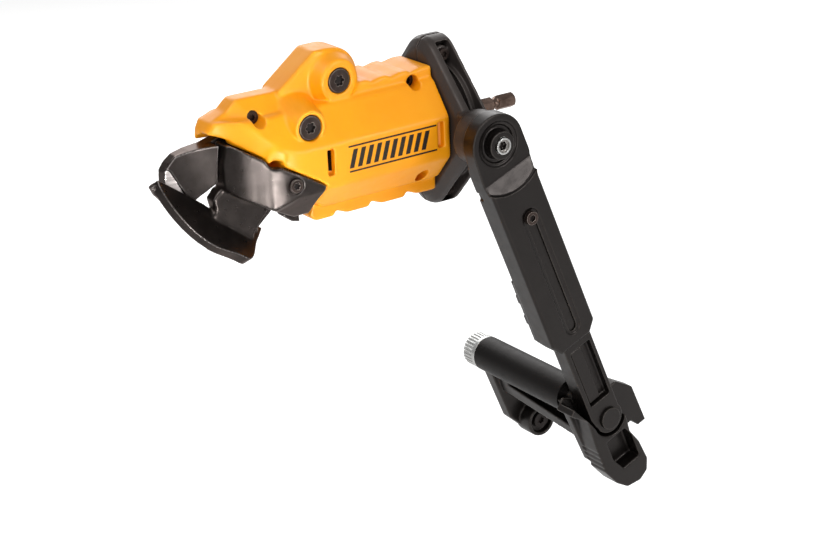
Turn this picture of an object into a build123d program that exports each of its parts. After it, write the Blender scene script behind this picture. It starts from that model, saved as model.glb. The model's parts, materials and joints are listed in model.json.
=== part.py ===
from build123d import *
import os
from math import cos, pi, radians, sin, sqrt

# An impact-driver sheet-metal shear head with its folding support arm.
# Millimetres. +X runs along the drive axis towards the driver, +Z is up,
# and the support arm hangs on the -Y side. The origin is the end face of
# the hex shank. The shear jaws are at the -X end.

# ---------------------------------------------------------------- drive line
HEX_ACROSS_FLATS = 6.35
SHANK_FRONT = -37.0
SHAFT_R = 5.0
BEARING_SEAT_R = 6.0
CAM_OFFSET = 1.0
CAM_SEAT_R = 5.0
MAIN_BEARING_R = 12.0
MAIN_BEARING_W = 7.0
CAM_BEARING_R = 9.5
CAM_BEARING_W = 7.0
REAR_BEARING_X = -64.0
FRONT_BEARING_X = -86.0
CAM_BEARING_X = -96.5
CARRIER_R = 15.0
RUNNING_GAP = 0.05

# ---------------------------------------------------------------- housing
REAR_X = -54.5
BODY_HALF_WIDTH = 25.5
BODY_SHOULDER_Z = 24.3
RAIL_HALF_WIDTH = 12.5
RAIL_TOP_Z = 29.8
RAIL_BOTTOM_Z = -29.6
HUMP_TOP_Z = 46.5
HUMP_HALF_WIDTH = 7.5
NOSE_HALF_WIDTH = 4.6
NOSE_TIP_X = -169.0
NECK_R = 19.5
FLANGE_R = 23.0
SPLIT_GAP = 0.05
BODY_UPPER_EDGE_Z = 8.6
BODY_LOWER_EDGE_Z = -10.4
PIVOT = (-126.5, 17.5)
HUMP_BOLT = (-104.9, 32.7)
PIVOT_FACE_Y = 22.5
HUMP_FACE_Y = 13.8
BOLT_R = 3.0
BOLT_HEAD_R = 5.7
NUT_ACROSS_FLATS = 10.0
NUT_GAP = 0.1
HUMP_R = 13.4
SCREW_POINTS = [(-147.5, 23.6), (-65.5, 24.0), (-66.0, -19.0), (-144.8, 3.4)]
SCREW_SEAT_Y = -6.1
SCREW_BOSS_R = 4.6
SCREW_HEAD_R = 3.0
LENS_CENTRE = (-144.9, 8.0)
LENS_R = 3.9
SLOT_X = (-118.9, -59.8)
SLOT_Z = (-5.2, 7.0)

# ---------------------------------------------------------------- jaws
SHEAR_Y = -2.0
WEB_Y = -5.6
UPPER_JAW_FAR_Y = 4.0
TIP = (-195.5, 3.0)
SHEET_SLOPE_DEG = 37.3
DECK_THICKNESS = 4.2
CHEEK_TOP_START = (-163.0, 15.6)
CHEEK_REAR = (-122.6, -8.9)
CHEEK_HALF_WIDTH = 26.4
JAW_SCREW = (-137.6, -5.6)
PARTING_GAP = 0.6
FLARE_WALL_Y = -9.0
FLARE_R = 26.0

# ---------------------------------------------------------------- collar and arm
COLLAR_FRONT_X = -54.1
COLLAR_REAR_X = -40.0
COLLAR_DOME = 5.0
EAR_SCREW_Z = 32.4
EAR_SCREW_X = -45.2
ARM_PIVOT_X = -47.5
ARM_TILT_DEG = 21.5
ARM_INNER_Y = -43.0
ARM_OUTER_Y = -56.0
ARM_LEFT = -14.9
ARM_RIGHT = 11.7
ARM_END = 113.5
INNER_ARM_LEFT = -9.2
INNER_ARM_RIGHT = 7.9
INNER_ARM_FRONT_Y = -54.4
INNER_ARM_BACK_Y = -44.7
SLIDE_SCREW_DOWN = 39.5
FOOT_PIVOT = (0.6, 163.4)
END_SCREW = (0.0, 194.5)
TUBE_CENTRE = (-6.4, 149.6)
TUBE_R = 8.9
FOOT_NEAR_Y = -55.0
FOOT_INNER_Y = -39.5
FAR_PLATE_Y = (21.0, 28.0)
KNURLS = 30


# ================================================================ helpers
def plane_y(y):
    """Plane facing -Y at the given y, with sketch axes along X and Z."""
    return Plane(origin=(0, y, 0), x_dir=(1, 0, 0), z_dir=(0, -1, 0))


def plane_x(x):
    """Plane facing +X at the given x, with sketch axes along Y and Z."""
    return Plane(origin=(x, 0, 0), x_dir=(0, 1, 0), z_dir=(1, 0, 0))


def outline(points, radius=0.0):
    """Closed face through the points, with every corner rounded when a radius is given."""
    face = make_face(Polyline(*points, close=True))
    if radius:
        face = fillet(face.vertices(), radius)
    return face


def slab_y(face, y_near, y_far):
    """Sketch face drawn in (x, z), filled from y_near (the lower value) to y_far."""
    return extrude(plane_y(y_far) * face, y_far - y_near)


def slab_x(face, x_front, x_rear):
    """Sketch face drawn in (y, z), filled from x_front (the lower value) to x_rear."""
    return extrude(plane_x(x_front) * face, x_rear - x_front)


def slab_z(face, z_low, z_high):
    """Sketch face drawn in (x, y), filled from z_low to z_high."""
    return extrude(Pos(0, 0, z_low) * face, z_high - z_low)


def rod_x(x_front, x_rear, radius, y=0.0, z=0.0):
    """Round bar along X."""
    bar = Cylinder(radius, x_rear - x_front, align=(Align.CENTER, Align.CENTER, Align.MIN))
    return Pos(x_front, y, z) * Rot(0, 90, 0) * bar


def rod_y(x, z, y_near, y_far, radius):
    """Round bar along Y, from y_near (the lower value) to y_far."""
    bar = Cylinder(radius, y_far - y_near, align=(Align.CENTER, Align.CENTER, Align.MIN))
    return Pos(x, y_near, z) * Rot(-90, 0, 0) * bar


def cone_y(x, z, y_near, y_far, near_r, far_r):
    """Tapered round bar along Y."""
    bar = Cone(near_r, far_r, y_far - y_near, align=(Align.CENTER, Align.CENTER, Align.MIN))
    return Pos(x, y_near, z) * Rot(-90, 0, 0) * bar


def block(x, y, z):
    """Box from three (low, high) pairs."""
    size = [high - low for low, high in (x, y, z)]
    middle = [(high + low) / 2 for low, high in (x, y, z)]
    return Pos(*middle) * Box(*size)


def socket_y(x, z, y_near, y_far, radius):
    """Six-lobed driver recess along Y."""
    recess = rod_y(x, z, y_near, y_far, radius * 0.74)
    for k in range(6):
        angle = k * pi / 3
        recess += rod_y(x + 0.68 * radius * cos(angle), z + 0.68 * radius * sin(angle), y_near, y_far,
                        radius * 0.3)
    return recess


def hex_y(x, z, y_near, y_far, across_flats, turn=0.0):
    """Hexagonal bar along Y."""
    hexagon = RegularPolygon(across_flats / sqrt(3), 6, rotation=turn)
    return slab_y(Pos(x, z) * hexagon, y_near, y_far)


def on_arm(part):
    """Carry a part drawn hanging straight down from the pivot to its leaning place."""
    return Pos(ARM_PIVOT_X, 0, 0) * Rot(0, -ARM_TILT_DEG, 0) * part


def hang(points):
    """Turn (across, down) pairs of the hanging arm into sketch points."""
    return [(across, -down) for across, down in points]


# ================================================================ drive line
def drive_shaft():
    """Hex power shank, bearing seats and the offset journal, turned from one bar."""
    hexagon = RegularPolygon(HEX_ACROSS_FLATS / sqrt(3), 6, rotation=30)
    shank = slab_x(hexagon, SHANK_FRONT, 0)
    end_cone = Cone(4.0, 2.9, 1.01, align=(Align.CENTER, Align.CENTER, Align.MIN))
    body = rod_x(SHANK_FRONT, -1.0, 4.2) + Pos(-1.0, 0, 0) * Rot(0, 90, 0) * end_cone
    shank = shank & body
    shank -= Pos(-11.3, 0, 0) * Rot(0, 90, 0) * Torus(4.6, 2.1)
    shaft = shank + rod_x(-56.5, SHANK_FRONT, SHAFT_R)
    shaft += rod_x(REAR_BEARING_X, -56.5, BEARING_SEAT_R)
    shaft += rod_x(FRONT_BEARING_X + MAIN_BEARING_W, REAR_BEARING_X, 7.0)
    shaft += rod_x(FRONT_BEARING_X - 1.0, FRONT_BEARING_X + MAIN_BEARING_W, BEARING_SEAT_R)
    shaft += rod_x(CAM_BEARING_X + CAM_BEARING_W, FRONT_BEARING_X - 1.0, 6.6, z=CAM_OFFSET)
    shaft += rod_x(CAM_BEARING_X - 2.6, CAM_BEARING_X + CAM_BEARING_W, CAM_SEAT_R, z=CAM_OFFSET)
    groove = rod_x(CAM_BEARING_X - 1.4, CAM_BEARING_X - 0.3, 6.0, z=CAM_OFFSET)
    groove -= rod_x(CAM_BEARING_X - 1.4, CAM_BEARING_X - 0.3, 4.5, z=CAM_OFFSET)
    return shaft - groove


def retaining_ring():
    """Open spring ring in the journal's end groove."""
    ring = rod_x(CAM_BEARING_X - 1.3, CAM_BEARING_X - 0.4, 6.6, z=CAM_OFFSET)
    ring -= rod_x(CAM_BEARING_X - 1.3, CAM_BEARING_X - 0.4, 4.55, z=CAM_OFFSET)
    return ring - block((CAM_BEARING_X - 2, CAM_BEARING_X), (-1.6, 1.6), (CAM_OFFSET - 8, CAM_OFFSET - 3))


def ball_bearing(x, bore_r, outer_r, width, z=0.0):
    """Inner ring, outer ring and ball set of one deep-groove bearing."""
    pitch_r = (bore_r + outer_r) / 2
    ball_r = (outer_r - bore_r) * 0.27
    land = ball_r * 0.62
    race = Pos(x + width / 2, 0, z) * Rot(0, 90, 0) * Torus(pitch_r, ball_r + RUNNING_GAP)
    inner = rod_x(x, x + width, pitch_r - land, z=z) - rod_x(x, x + width, bore_r + 0.01, z=z) - race
    outer = rod_x(x, x + width, outer_r, z=z) - rod_x(x, x + width, pitch_r + land, z=z) - race
    count = int(2 * pi * pitch_r / (2 * ball_r * 1.35))
    balls = [Pos(x + width / 2, pitch_r * cos(2 * pi * k / count), z + pitch_r * sin(2 * pi * k / count))
             * Sphere(ball_r) for k in range(count)]
    return inner, outer, Compound(children=balls)


def bearing_carrier():
    """Metal sleeve that lines up the two main bearings."""
    front = FRONT_BEARING_X - 1.0
    sleeve = rod_x(front, -56.5, CARRIER_R) - rod_x(front, -56.5, 10.4)
    sleeve -= rod_x(REAR_BEARING_X, -56.5, MAIN_BEARING_R + 0.02)
    sleeve -= rod_x(front, FRONT_BEARING_X + MAIN_BEARING_W, MAIN_BEARING_R + 0.02)
    return sleeve


def dust_seal():
    """Felt-backed lip ring where the shaft leaves the housing."""
    return rod_x(-46.0, -42.0, 9.5) - rod_x(-46.0, -42.0, SHAFT_R + 0.3)


# ================================================================ housing
def octagon(grow=0.0):
    """Cross-section of the housing body in (y, z)."""
    side = BODY_HALF_WIDTH + grow
    right = [(14.0 + grow, BODY_SHOULDER_Z + grow), (side, BODY_UPPER_EDGE_Z), (side, BODY_LOWER_EDGE_Z),
             (14.6 + grow, -22.8 - grow)]
    left = [(-y, z) for y, z in reversed(right)]
    return outline(right + left, 3.4)


def cheek_line(x):
    """Height of the sloping parting line between the housing and the lower jaw's cheek."""
    slope = (CHEEK_REAR[1] - CHEEK_TOP_START[1]) / (CHEEK_REAR[0] - CHEEK_TOP_START[0])
    return CHEEK_TOP_START[1] + slope * (x - CHEEK_TOP_START[0])


def housing_line(x):
    """Lower edge of the housing, a thin gap above the cheek."""
    return cheek_line(x) + PARTING_GAP


def plan_outline(grow=0.0):
    """Half-width of the head in (x, y): parallel behind, curving in to the nose."""
    with BuildSketch() as sketch:
        with BuildLine():
            flank = Spline((-132.0, BODY_HALF_WIDTH + grow), (-146.5, 20.8 + grow), (-157.5, 12.4 + grow),
                           (-167.5, 6.4 + grow), tangents=[(-1, 0), (-1, -0.35)])
            Line(flank @ 1, (NOSE_TIP_X - 3, 5.6 + grow))
            Line((NOSE_TIP_X - 3, 5.6 + grow), (NOSE_TIP_X - 3, 0))
            Line((NOSE_TIP_X - 3, 0), (REAR_X, 0))
            Line((REAR_X, 0), (REAR_X, BODY_HALF_WIDTH + grow))
            Line((REAR_X, BODY_HALF_WIDTH + grow), flank @ 0)
        make_face()
    return sketch.sketch + mirror(sketch.sketch, Plane.XZ)


def rail_notches():
    """Shallow grip notches, cut across the top and the bottom rails."""
    notches = Part()
    for x in (-109.5, -90.5, -71.0):
        wedge = outline([(x - 1.6, -34), (x - 1.6, RAIL_BOTTOM_Z - 0.2), (x, RAIL_BOTTOM_Z + 2.4),
                         (x + 6.5, RAIL_BOTTOM_Z - 0.2), (x + 6.5, -34)])
        notches += slab_y(wedge, -20, 20)
    for x in (-89.0, -78.5, -68.0):
        wedge = outline([(x, 34), (x, RAIL_TOP_Z + 0.2), (x + 1.6, RAIL_TOP_Z - 1.3),
                         (x + 8.2, RAIL_TOP_Z + 0.2), (x + 8.2, 34)])
        notches += slab_y(wedge, -20, 20)
    return notches


def housing_outer():
    """Outside of the two clamshells together."""
    core_side = outline([(REAR_X, -23), (-117, -23), (-124.5, -18.5), (-121.8, housing_line(-121.8)),
                         (-160.5, housing_line(-160.5)), (NOSE_TIP_X, 15.2), (NOSE_TIP_X + 0.5, 20.0),
                         (-166.0, 24.0), (-157.8, 27.0), (REAR_X, 27.0)])
    core = slab_x(octagon(), NOSE_TIP_X - 1, REAR_X) & slab_y(core_side, -30, 30)
    core &= slab_z(plan_outline(), -40, 60)

    bottom_rail = outline([(REAR_X, -20), (REAR_X, RAIL_BOTTOM_Z), (-120.5, RAIL_BOTTOM_Z), (-123.5, -27),
                           (-122.5, -20)])
    bottom_rail = slab_y(fillet(bottom_rail.vertices(), 0.8), -RAIL_HALF_WIDTH, RAIL_HALF_WIDTH)
    top_rail = slab_y(outline([(REAR_X, 20), (REAR_X, RAIL_TOP_Z), (-98, RAIL_TOP_Z), (-98, 20)]),
                      -RAIL_HALF_WIDTH, RAIL_HALF_WIDTH)

    hump_x, hump_z = HUMP_BOLT[0], HUMP_TOP_Z - HUMP_R
    ridge = outline([(-136.0, 15.0), (-132.5, 31.8), (-113.0, HUMP_TOP_Z), (hump_x, HUMP_TOP_Z),
                     (hump_x + HUMP_R, hump_z), (hump_x + HUMP_R, 20.0), (-118.0, 15.0)])
    ridge = ridge - Pos(hump_x + HUMP_R / 2, hump_z + HUMP_R / 2) * Rectangle(HUMP_R, HUMP_R)
    ridge += Pos(hump_x, hump_z) * Circle(HUMP_R)
    hump = slab_y(ridge, -HUMP_HALF_WIDTH, HUMP_HALF_WIDTH)

    nose_side = outline([(-128.0, 12.0), (-130.0, 32.0), (-133.5, 31.6), (-152.8, 31.9), (-158.2, 27.2),
                         (-166.4, 24.0), (-168.6, 20.8), (NOSE_TIP_X, 15.2), (-160.5, housing_line(-160.5))])
    nose = slab_y(nose_side, -NOSE_HALF_WIDTH, NOSE_HALF_WIDTH)
    flare = loft([plane_y(-NOSE_HALF_WIDTH) * outline([(-131, 14), (-131, 31), (-152.4, 31.2), (-157.8, 26.6),
                                                      (-165.4, 23.4), (-165.4, 17.0)]),
                  plane_y(-11.5) * outline([(-131, 8), (-131, 24), (-148.5, 24), (-153.0, 21.5),
                                            (-157.5, 18.5), (-157.5, 12.6)])], ruled=True)
    nose += flare + mirror(flare, Plane.XZ)

    outer = core + bottom_rail + top_rail + hump + nose
    for side in (-1, 1):
        outer += boss_pads(side)
    outer -= rail_notches()
    return outer


def boss_pads(side):
    """Raised round pads under the two through-bolts, on one side."""
    pads = cone_y(*PIVOT, -PIVOT_FACE_Y, -4.0, 7.6, 14.0)
    pads += cone_y(*HUMP_BOLT, -HUMP_FACE_Y, 1.0 - HUMP_HALF_WIDTH, 9.4, HUMP_R - 0.5)
    return pads if side < 0 else mirror(pads, Plane.XZ)


def neck():
    """Round spigot and retaining flange that carry the swivel collar."""
    spigot = rod_x(REAR_X - 0.5, -41.0, NECK_R)
    return spigot + rod_x(-49.6, -46.4, FLANGE_R)


def jaw_chamber():
    """Space for the lower jaw's web, the moving jaw and its fork."""
    profile = [(-84.8, -17.4), (-84.8, 20.0), (-95.0, 27.5), (-95.6, 39.0), (-100.0, 42.0), (-110.5, 42.0),
               (-132.0, 28.6), (-140.0, 22.6), (-150.0, 20.9), (-160.0, 19.4), (NOSE_TIP_X - 2, 17.4),
               (NOSE_TIP_X - 2, -12.0), (-128.0, -30.0), (-124.0, -12.0), (-114.0, -17.4)]
    return slab_y(outline(profile), WEB_Y - 0.1, UPPER_JAW_FAR_Y + 0.15)


def housing_voids():
    """Everything that the clamshells leave open."""
    voids = rod_x(FRONT_BEARING_X - 1.05, -56.4, CARRIER_R + 0.05)
    voids += rod_x(-105.0, -85.0, 13.2)
    voids += rod_x(-60.0, -38.0, SHAFT_R + 0.4)
    voids += rod_x(-46.05, -38.0, 9.55)
    voids += jaw_chamber()
    for (x, z), face_y in ((PIVOT, PIVOT_FACE_Y), (HUMP_BOLT, HUMP_FACE_Y)):
        voids += rod_y(x, z, -40, 40, BOLT_R + 0.05)
        voids += rod_y(x, z, -32.0, -face_y + 2.2, BOLT_HEAD_R + 0.25)
        voids += hex_y(x, z, face_y - 4.6, 32.0, NUT_ACROSS_FLATS + NUT_GAP)
    for x, z in SCREW_POINTS:
        voids += rod_y(x, z, SCREW_SEAT_Y, 12.0, 1.55)
        voids += rod_y(x, z, -32.0, SCREW_SEAT_Y, SCREW_HEAD_R + 0.25)
    for x in SLOT_X:
        for near, far in ((-27.0, -22.4), (22.4, 27.0)):
            voids += block((x - 1.7, x + 1.7), (near, far), SLOT_Z)
        voids += block((x - 1.7, x + 0.2), (-23.0, -18.4), SLOT_Z)
    voids += jaw_screw_hole()
    return voids


def nose_notch():
    """Opening low in the left side of the nose, where the dished side of the moving jaw swings."""
    side = outline([(NOSE_TIP_X - 2, 10.0), (NOSE_TIP_X + 0.4, 19.4), (-160.2, 16.2), (-160.2, 10.0)])
    return slab_y(side, -30, 0)


def low_screw_boss():
    """Round boss for the low front screw, hidden behind the cheek."""
    x, z = SCREW_POINTS[-1]
    boss = rod_y(x, z, -21.0, WEB_Y - 0.1, SCREW_BOSS_R)
    boss += rod_y(x, z, UPPER_JAW_FAR_Y + 0.15, 21.0, SCREW_BOSS_R)
    return boss & slab_z(plan_outline(-3.4), -40, 60)


def parting_lens():
    """Small round swelling of the left clamshell, which dips into the cheek's upper edge."""
    lens = rod_y(*LENS_CENTRE, -30.0, WEB_Y - 0.1, LENS_R) & slab_z(plan_outline(0.9), -40, 60)
    return lens & slab_x(octagon(0.9), -175, -110)


def housing_half(side):
    """One clamshell: side -1 is the left one, beside the arm, and +1 the right one."""
    whole = housing_outer() + neck() + low_screw_boss() + parting_lens()
    depth = (-60, -SPLIT_GAP / 2) if side < 0 else (SPLIT_GAP / 2, 60)
    half = (whole & block((-200, 0), depth, (-60, 60))) - housing_voids()
    if side < 0:
        half -= nose_notch()
    if side > 0:
        for x, z in SCREW_POINTS:
            half -= rod_y(x, z, -1, 12.0, 1.45)
    return half


# ================================================================ head fasteners
def through_bolt(x, z, face_y):
    """Low round-head bolt with a six-lobed recess, from the left face to its nut."""
    bolt = rod_y(x, z, -face_y + 2.1, face_y - 0.5, BOLT_R)
    head = rod_y(x, z, -face_y + 0.3, -face_y + 2.1, BOLT_HEAD_R)
    head = chamfer(head.edges().sort_by(Axis.Y)[0], 0.5)
    return bolt + head - socket_y(x, z, -face_y, -face_y + 1.9, 2.6)


def bolt_nuts():
    """The two hexagon nuts in the right clamshell's pockets."""
    nuts = []
    for (x, z), face_y in ((PIVOT, PIVOT_FACE_Y), (HUMP_BOLT, HUMP_FACE_Y)):
        nut = hex_y(x, z, face_y - 4.5, face_y - 0.1, NUT_ACROSS_FLATS)
        nuts.append(nut - rod_y(x, z, face_y - 6, face_y + 1, BOLT_R + 0.02))
    return Compound(children=nuts)


def housing_screws():
    """Thread-forming screws that close the clamshells, deep in their holes."""
    screws = []
    for x, z in SCREW_POINTS:
        seat = SCREW_SEAT_Y - 0.05
        head = rod_y(x, z, seat - 2.4, seat, SCREW_HEAD_R) - socket_y(x, z, seat - 2.5, seat - 1.0, 1.6)
        screws.append(head + rod_y(x, z, seat, 11.0, 1.4))
    return Compound(children=screws)


# ================================================================ jaws
def along_sheet(start, distance, drop=0.0):
    """Point reached from start by going back along the sheet plane, and down by drop."""
    slope = radians(SHEET_SLOPE_DEG)
    return (start[0] + distance * cos(slope) - drop * sin(slope),
            start[1] - distance * sin(slope) - drop * cos(slope))


def deck_plane():
    """Plane of the sloping deck: x back along the sheet, y outwards and down."""
    slope = radians(SHEET_SLOPE_DEG)
    back = Vector(cos(slope), 0, -sin(slope))
    down = Vector(-sin(slope), 0, -cos(slope))
    out = (Vector(0, -1, 0) + down).normalized()
    return Plane(origin=(TIP[0], SHEAR_Y - 0.1, TIP[1]), x_dir=back, z_dir=back.cross(out))


def deck_outline():
    """Outline of the deck in its own plane."""
    with BuildSketch() as sketch:
        with BuildLine():
            rim = Spline((0.0, 0.2), (4.5, 7.4), (18.8, 16.9), (36.0, 19.6), (49.0, 17.4), (57.5, 9.0),
                         tangents=[(0.25, 1), (0.15, -1)])
            tail = Spline(rim @ 1, (60.2, 1.5), (62.5, -6.0), tangents=[rim % 1, (0.35, -1)])
            Line(tail @ 1, (40.0, -6.0))
            Line((40.0, -6.0), (34.0, 0.0))
            Line((34.0, 0.0), rim @ 0)
        make_face()
    return sketch.sketch


def deck():
    """Broad left-hand deck that the cut-off strip rides over."""
    plate = extrude(deck_plane() * deck_outline(), -DECK_THICKNESS)
    keep = block((-230, -100), (-60, SHEAR_Y - 0.1), (-60, 40))
    return plate & keep


def web():
    """Upright web of the lower jaw: cutting edge, throat, and the two bolt eyes."""
    edge_end = along_sheet(TIP, 31.0)
    points = [TIP, edge_end, (-167.0, -16.6), (-164.4, -12.0), (-162.4, -6.0), (-161.0, 2.0), (-160.0, 10.0),
              (-150.0, 8.0), (-136.0, 14.0), (-132.0, 25.0), (-112.0, 39.0), (-101.5, 40.0), (-97.6, 34.0),
              (-98.6, 27.0), (-117.5, 12.0), (-122.0, 4.0), (-126.0, -8.0), (-137.5, -20.0), (-143.5, -26.0),
              (-148.0, -30.0), along_sheet(TIP, 48.0, 8.0), along_sheet(TIP, 24.0, 8.5),
              along_sheet(TIP, 3.0, 4.0), along_sheet(TIP, -0.8, 2.0)]
    plate = slab_y(outline(points), WEB_Y, SHEAR_Y - 0.1)
    for x, z in (PIVOT, HUMP_BOLT):
        plate -= rod_y(x, z, WEB_Y - 1, SHEAR_Y + 1, BOLT_R + 0.03)
    return plate


def cheek_plan(grow=0.0):
    """Plan of the cheek in (x, y): two soft upright folds between the throat and the flat."""
    folds = [(-164.6, 2.0), (-164.6, 10.4 + grow), (-160.6, 15.6 + grow), (-147.4, 22.4 + grow),
             (-136.0, CHEEK_HALF_WIDTH + grow), (-112.0, CHEEK_HALF_WIDTH + grow), (-112.0, 2.0)]
    face = make_face(Polyline(*folds, close=True))
    corners = face.vertices().filter_by(lambda v: -162.0 < v.X < -120.0)
    face = fillet(corners, 5.0)
    return mirror(face, Plane.XZ)


def cheek():
    """Curved left cheek outside the housing, hollow behind."""
    profile = outline([CHEEK_TOP_START, CHEEK_REAR, (-125.2, -17.5), (-126.5, -27.2),
                       (-131.0, -25.0), (-152.3, -13.2), (-166.4, -4.4)], 0.9)
    body = slab_y(profile, -30, SHEAR_Y - 0.1)
    body &= slab_x(octagon(0.9), -175, -110)
    body &= slab_z(cheek_plan(), -40, 60)
    pocket = slab_y(outline([(-158.0, 20), (-118.0, -4.0), (-118.0, -24.0), (-130.5, -20.5), (-150.0, -9.5),
                             (-160.0, -3.0)]), -22.4, WEB_Y)
    pocket &= slab_x(octagon(-3.2), -175, -110) & slab_z(cheek_plan(-3.8), -40, 60)
    body -= rod_y(*LENS_CENTRE, -40, WEB_Y, LENS_R + 0.5)
    return body - pocket


def jaw_screw_hole():
    """Clearance for the cheek screw's shank inside the left clamshell."""
    return rod_y(*JAW_SCREW, -24.0, WEB_Y, 2.1)


def flare():
    """Wall under the cheek and the wide hollow curve by which it runs out into the deck."""
    wall = slab_y(outline([(-160.0, -5.0), (-166.3, -5.2), (-169.8, -9.0), (-168.8, -14.2), (-170.5, -18.6),
                           (-152.7, -32.1), (-143.1, -20.1), (-150.0, -11.0)]), FLARE_WALL_Y, SHEAR_Y - 0.1)
    drop = FLARE_WALL_Y - (SHEAR_Y - 0.1)
    tangent = FLARE_R * (sqrt(2) - 1)
    corner = (FLARE_WALL_Y, drop)
    wall_end = (FLARE_WALL_Y, drop + tangent)
    deck_end = (FLARE_WALL_Y - tangent * sqrt(0.5), drop - tangent * sqrt(0.5))
    root = (SHEAR_Y - 0.1, drop - 1.0)
    section = outline([corner, wall_end, (SHEAR_Y - 0.1, drop + tangent), root, deck_end])
    section -= Pos(FLARE_WALL_Y - FLARE_R, drop + tangent) * Circle(FLARE_R)
    slope = radians(SHEET_SLOPE_DEG)
    start = along_sheet(TIP, 31.5)
    across = Plane(origin=(start[0], 0, start[1]), x_dir=(0, 1, 0), z_dir=(cos(slope), 0, -sin(slope)))
    sweep = extrude(across * section, 23.8) & extrude(deck_plane() * deck_outline(), 30, both=True)
    return wall + sweep


def lower_jaw():
    """Forged fixed jaw: web, deck, cheek and the curved flare between them."""
    jaw = web() + deck() + cheek() + flare()
    jaw -= rod_y(*SCREW_POINTS[-1], WEB_Y - 1, SHEAR_Y + 1, 1.6)
    jaw -= rod_y(*JAW_SCREW, -30, WEB_Y - 0.4, 2.05)
    jaw -= rod_y(*JAW_SCREW, -30, -24.6, 3.45)
    heel = outline([(-134.0, -20.0), (-127.5, -22.0), (-127.0, -29.0), (-131.0, -28.0), (-135.5, -24.5)])
    return jaw + slab_y(heel, -9.0, -3.0)


def jaw_screw():
    """Six-lobed countersunk screw that ties the cheek to the web."""
    head = rod_y(*JAW_SCREW, -26.3, -24.6, 3.35)
    head = chamfer(head.edges().sort_by(Axis.Y)[0], 0.4)
    return head + rod_y(*JAW_SCREW, -24.6, WEB_Y - 0.4, 2.0) - socket_y(*JAW_SCREW, -26.4, -25.2, 1.7)


def upper_jaw():
    """Moving jaw: blade with a dished left face, pivot eye and the cam fork."""
    blade = [(-128.0, 26.0), (-137.0, 20.6), (-150.0, 18.8), (-160.0, 16.6), (-168.5, 14.4), (-176.5, 13.6),
             (-182.4, 12.2), (-186.2, 9.4), (-188.6, 6.2), (-189.0, -1.2), along_sheet(TIP, 8.5, 1.5),
             along_sheet(TIP, 25.0, 1.5),
             (-175.6, -10.6), (-171.0, -6.8), (-165.0, -3.0), (-158.0, 2.0), (-151.0, 6.6), (-138.0, 7.6),
             (-128.0, 6.0)]
    jaw = slab_y(outline(blade), SHEAR_Y, UPPER_JAW_FAR_Y)
    jaw += rod_y(*PIVOT, SHEAR_Y, UPPER_JAW_FAR_Y, 10.0)

    reach = CAM_BEARING_R + 3 * CAM_OFFSET + 0.35
    low = CAM_BEARING_R + CAM_OFFSET + 0.35
    fork = [(-128.0, 22.0), (-112.0, reach + 5.6), (-88.2, reach + 4.8), (-88.2, reach), (-106.6, reach),
            (-108.6, reach - 2.0), (-108.6, -low + 2.0), (-106.6, -low), (-88.2, -low), (-88.2, -low - 4.0),
            (-112.0, -low - 4.0), (-116.0, -low + 1.0), (-119.0, 2.0), (-126.0, 7.0)]
    jaw += slab_y(outline(fork), SHEAR_Y + 0.05, UPPER_JAW_FAR_Y)
    jaw -= rod_y(*PIVOT, SHEAR_Y - 1, UPPER_JAW_FAR_Y + 1, 5.0 + RUNNING_GAP)

    plow_side = outline([(-187.8, 7.6), (-183.0, 12.3), (-176.5, 13.6), (-168.5, 14.4), (-165.0, 14.6),
                         (-165.0, -3.2), (-170.0, -6.6), (-177.1, -10.4), (-185.9, 6.2)])
    plow = slab_y(plow_side, -9.6, SHEAR_Y + 0.5)
    scoop_r = 42.0
    scoop = Pos(-185.0, SHEAR_Y - scoop_r - 0.7, 6.0) * Rot(0, -24, 0) * Cylinder(scoop_r, 90)
    return jaw + (plow - scoop)


def pivot_sleeve():
    """Hardened sleeve on the pivot bolt, on which the moving jaw turns."""
    sleeve = rod_y(*PIVOT, SHEAR_Y - 0.08, UPPER_JAW_FAR_Y + 0.1, 5.0)
    return sleeve - rod_y(*PIVOT, SHEAR_Y - 1, UPPER_JAW_FAR_Y + 1, BOLT_R + 0.03)


# ================================================================ swivel collar
def collar_outline(grow=0.0):
    """Rounded diamond of the collar in (y, z)."""
    lobes = [(0, 26.2, 14.2), (0, -26.2, 14.2), (-27.0, 0, 12.1), (20.0, 0, 17.0)]
    circles = Sketch()
    for y, z, r in lobes:
        circles += Pos(y, z) * Circle(r + grow)
    return make_hull(circles.edges())


def collar_body():
    """Whole collar before it is split: domed front, round groove for the flange."""
    shoulder_x = COLLAR_FRONT_X + COLLAR_DOME
    brow_x = COLLAR_FRONT_X + COLLAR_DOME * 0.5
    body = slab_x(collar_outline(), shoulder_x, COLLAR_REAR_X)
    body += extrude(plane_x(shoulder_x) * collar_outline(), brow_x - shoulder_x, taper=24)
    inset = (shoulder_x - brow_x) * sin(radians(24)) / cos(radians(24))
    body += extrude(plane_x(brow_x) * collar_outline(-inset), COLLAR_FRONT_X - brow_x, taper=58)
    body += rod_y(ARM_PIVOT_X, 0, -42.9, -30.0, 12.0) & block((COLLAR_FRONT_X, -30), (-50, 0), (-20, 20))
    body += rod_y(ARM_PIVOT_X, 0, -42.9, -34.6, 12.6)
    body -= rod_x(-60, -30, NECK_R + 0.3)
    body -= rod_x(-49.9, -46.1, FLANGE_R + 0.3)
    return body


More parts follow.
